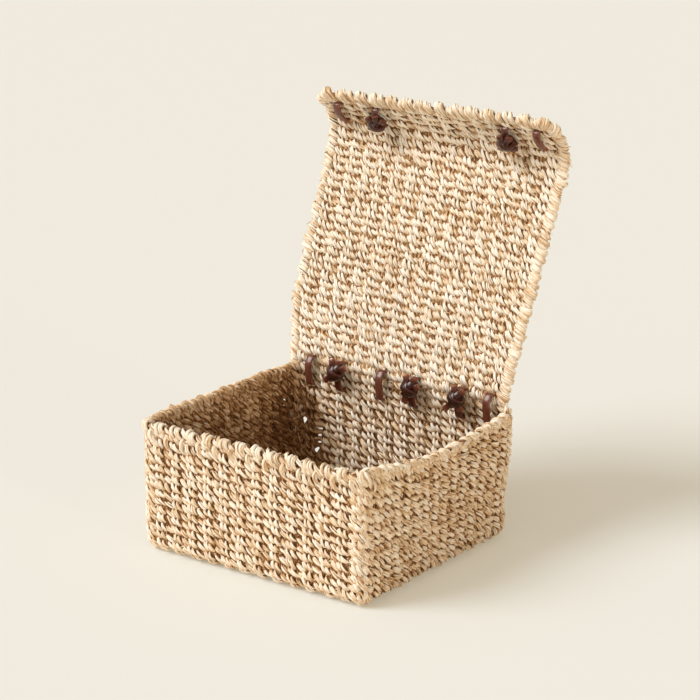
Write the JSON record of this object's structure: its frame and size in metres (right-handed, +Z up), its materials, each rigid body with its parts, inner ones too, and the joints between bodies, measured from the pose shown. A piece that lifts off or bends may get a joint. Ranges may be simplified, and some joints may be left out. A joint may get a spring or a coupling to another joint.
{
  "type": "woven napkin holder",
  "caption": "Twined straw napkin box with rounded corners and a woven lid that curves into a front lip, hinged and trimmed with knotted dark leather laces.",
  "frame": {"origin": "middle of the box's flat underside", "axes": "+Z up, -Y towards the front wall, +X towards the right wall; the lid is hinged at +Y"},
  "size_m": [0.1769, 0.2051, 0.2483],
  "materials": {
    "straw_weave": "matte twined plant fibre",
    "straw_border": "matte twined plant fibre",
    "brown_leather": "satin, reddish at the cut edges"
  },
  "bodies": {
    "box": {"floor_panel": "straw_weave", "front_wall": "straw_weave", "right_wall": "straw_weave", "back_wall": "straw_weave", "left_wall": "straw_weave", "front_rim": "straw_border", "right_rim": "straw_border", "back_rim": "straw_border", "left_rim": "straw_border", "hinge_lace_left": "brown_leather", "hinge_lace_middle": "brown_leather", "hinge_lace_right": "brown_leather"},
    "lid": {"lid_panel": "straw_weave", "lid_lip": "straw_weave", "lid_left_selvage": "straw_border", "lid_right_selvage": "straw_border", "lid_front_border": "straw_border", "lid_back_edge": "straw_border", "lip_lace_left": "brown_leather", "lip_lace_right": "brown_leather"}
  },
  "joints": [
    {"name": "lid_hinge", "type": "hinge", "parent": "box", "child": "lid", "pos_m": [0, 0.069, 0.0825], "axis": [1, 0, 0], "range_deg": [0, 112], "deforming": ["hinge_lace_left", "hinge_lace_middle", "hinge_lace_right"]}
  ]
}
